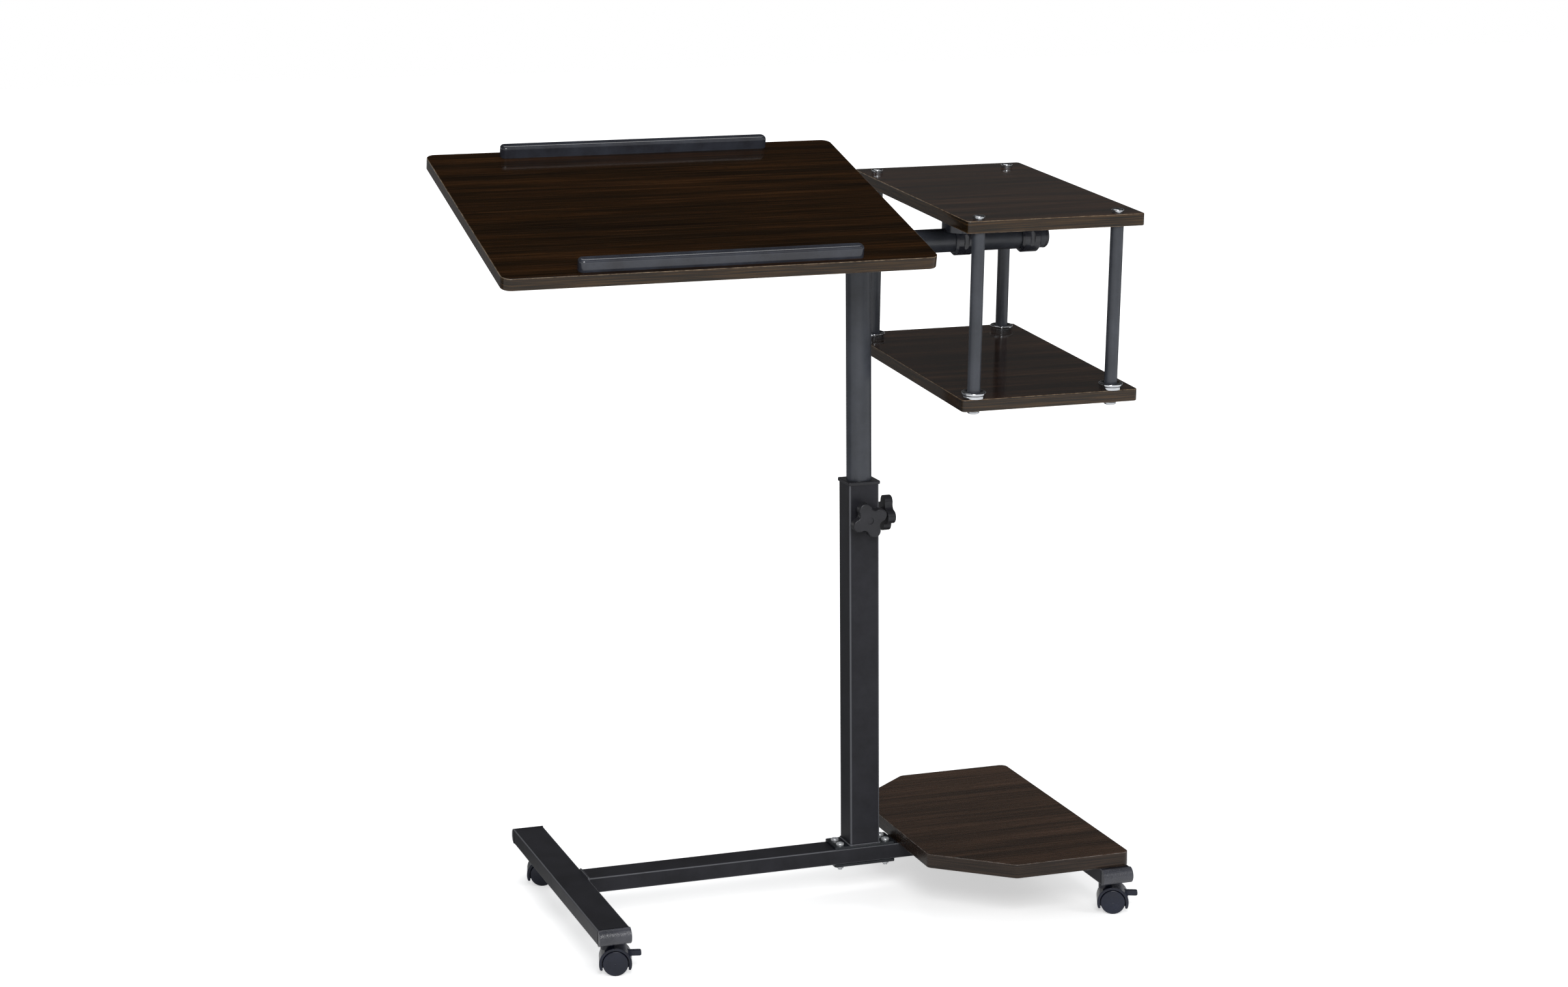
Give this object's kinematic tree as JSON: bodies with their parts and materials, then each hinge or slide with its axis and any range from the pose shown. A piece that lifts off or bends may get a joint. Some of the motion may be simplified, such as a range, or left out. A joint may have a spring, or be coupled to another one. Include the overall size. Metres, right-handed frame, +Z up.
{
  "type": "laptop table",
  "caption": "Height-adjustable rolling laptop table: square mast on a wheeled base, tilting desk and tilting side table on a cross bar.",
  "frame": {"origin": "on the floor under the middle of the overall box", "axes": "+X along the long bar from the desk side to the side table, +Y to the back, +Z up"},
  "size_m": [0.8088, 0.436, 0.9681],
  "materials": {
    "dark_wood": "dark brown wood-grain laminate, semi-gloss",
    "black_steel": "black satin powder coat",
    "black_plastic": "black moulded plastic",
    "caster_plastic": "black glossy moulded plastic",
    "bright_chrome": "bright chrome plate",
    "plated_steel": "zinc plated steel"
  },
  "bodies": {
    "base": {"left_foot_bar": "black_steel", "right_foot_bar": "black_steel", "foot_end_caps": "black_plastic", "long_bar": "black_steel", "mast_base_plate": "black_steel", "mast_clamp_plate": "black_steel", "mast_bolts": "bright_chrome", "mast_nuts": "plated_steel", "lower_mast": "black_steel", "mast_collar": "black_plastic", "knob_bosses": "black_steel", "base_board": "dark_wood", "base_board_screws": "plated_steel", "caster_stems": "plated_steel", "caster_nuts": "plated_steel"},
    "guide": {"mast_guide": "black_plastic"},
    "upper": {"upper_mast": "black_steel", "head_sleeve": "black_steel", "cross_bar": "black_steel", "bar_end_caps": "black_plastic", "head_bolt_and_nut": "plated_steel"},
    "desk": {"desk_board": "dark_wood", "desk_front_rail": "black_plastic", "desk_rear_rail": "black_plastic", "desk_screws": "plated_steel", "desk_bracket_left": "black_plastic", "desk_bracket_right": "black_plastic", "desk_set_screws": "plated_steel"},
    "side_table": {"side_upper_shelf": "dark_wood", "side_lower_shelf": "dark_wood", "side_post_front_left": "black_steel", "side_post_front_right": "black_steel", "side_post_back_left": "black_steel", "side_post_back_right": "black_steel", "side_post_inserts": "plated_steel", "side_post_flanges": "bright_chrome", "side_top_screws": "bright_chrome", "side_bottom_screws": "bright_chrome", "side_bracket_left": "black_plastic", "side_bracket_right": "black_plastic", "side_screws": "plated_steel", "side_set_screws": "plated_steel"},
    "front_knob": {"knob_front": "black_plastic", "knob_front_stud": "plated_steel"},
    "side_knob": {"knob_side": "black_plastic", "knob_side_stud": "plated_steel"},
    "swivel_front_left": {"caster_front_left_hood": "caster_plastic"},
    "wheels_front_left": {"caster_front_left_wheels": "caster_plastic", "caster_front_left_axle": "plated_steel"},
    "brake_front_left": {"caster_front_left_brake_lever": "caster_plastic"},
    "swivel_front_right": {"caster_front_right_hood": "caster_plastic"},
    "wheels_front_right": {"caster_front_right_wheels": "caster_plastic", "caster_front_right_axle": "plated_steel"},
    "brake_front_right": {"caster_front_right_brake_lever": "caster_plastic"},
    "swivel_back_left": {"caster_back_left_hood": "caster_plastic"},
    "wheels_back_left": {"caster_back_left_wheels": "caster_plastic", "caster_back_left_axle": "plated_steel"},
    "swivel_back_right": {"caster_back_right_hood": "caster_plastic"},
    "wheels_back_right": {"caster_back_right_wheels": "caster_plastic", "caster_back_right_axle": "plated_steel"}
  },
  "joints": [
    {"name": "height_slide", "type": "slide", "parent": "base", "child": "guide", "axis": [0, 0, 1], "range_m": [-0.25, 0.1]},
    {"name": "mast_turn", "type": "hinge", "parent": "guide", "child": "upper", "pos_m": [0.09859, 0, 0.5], "axis": [0, 0, 1], "continuous": true},
    {"name": "desk_tilt", "type": "hinge", "parent": "upper", "child": "desk", "pos_m": [-0.13841, 0, 0.843], "axis": [1, 0, 0], "range_deg": [-20, 20]},
    {"name": "side_table_tilt", "type": "hinge", "parent": "upper", "child": "side_table", "pos_m": [0.28159, 0, 0.843], "axis": [1, 0, 0], "range_deg": [-20, 20]},
    {"name": "front_knob_turn", "type": "hinge", "parent": "base", "child": "front_knob", "pos_m": [0.09859, -0.035, 0.5], "axis": [0, -1, 0], "continuous": true},
    {"name": "side_knob_turn", "type": "hinge", "parent": "base", "child": "side_knob", "pos_m": [0.13359, 0, 0.5], "axis": [1, 0, 0], "continuous": true},
    {"name": "caster_front_left_swivel", "type": "hinge", "parent": "base", "child": "swivel_front_left", "pos_m": [-0.29041, -0.177, 0.04], "axis": [0, 0, 1], "continuous": true},
    {"name": "caster_front_left_roll", "type": "hinge", "parent": "swivel_front_left", "child": "wheels_front_left", "pos_m": [-0.28123, -0.17946, 0.0155], "axis": [0.2588, 0.9659, 0], "continuous": true},
    {"name": "caster_front_left_brake", "type": "hinge", "parent": "swivel_front_left", "child": "brake_front_left", "pos_m": [-0.268, -0.18301, 0.0245], "axis": [0.2588, 0.9659, 0], "range_deg": [0, 18]},
    {"name": "caster_front_right_swivel", "type": "hinge", "parent": "base", "child": "swivel_front_right", "pos_m": [0.36559, -0.177, 0.04], "axis": [0, 0, 1], "continuous": true},
    {"name": "caster_front_right_roll", "type": "hinge", "parent": "swivel_front_right", "child": "wheels_front_right", "pos_m": [0.37433, -0.18071, 0.0155], "axis": [0.3907, 0.9205, 0], "continuous": true},
    {"name": "caster_front_right_brake", "type": "hinge", "parent": "swivel_front_right", "child": "brake_front_right", "pos_m": [0.38694, -0.18607, 0.0245], "axis": [0.3907, 0.9205, 0], "range_deg": [0, 18]},
    {"name": "caster_back_left_swivel", "type": "hinge", "parent": "base", "child": "swivel_back_left", "pos_m": [-0.29041, 0.177, 0.04], "axis": [0, 0, 1], "continuous": true},
    {"name": "caster_back_left_roll", "type": "hinge", "parent": "swivel_back_left", "child": "wheels_back_left", "pos_m": [-0.28123, 0.17454, 0.0155], "axis": [0.2588, 0.9659, 0], "continuous": true},
    {"name": "caster_back_right_swivel", "type": "hinge", "parent": "base", "child": "swivel_back_right", "pos_m": [0.36559, 0.177, 0.04], "axis": [0, 0, 1], "continuous": true},
    {"name": "caster_back_right_roll", "type": "hinge", "parent": "swivel_back_right", "child": "wheels_back_right", "pos_m": [0.37433, 0.17329, 0.0155], "axis": [0.3907, 0.9205, 0], "continuous": true}
  ]
}
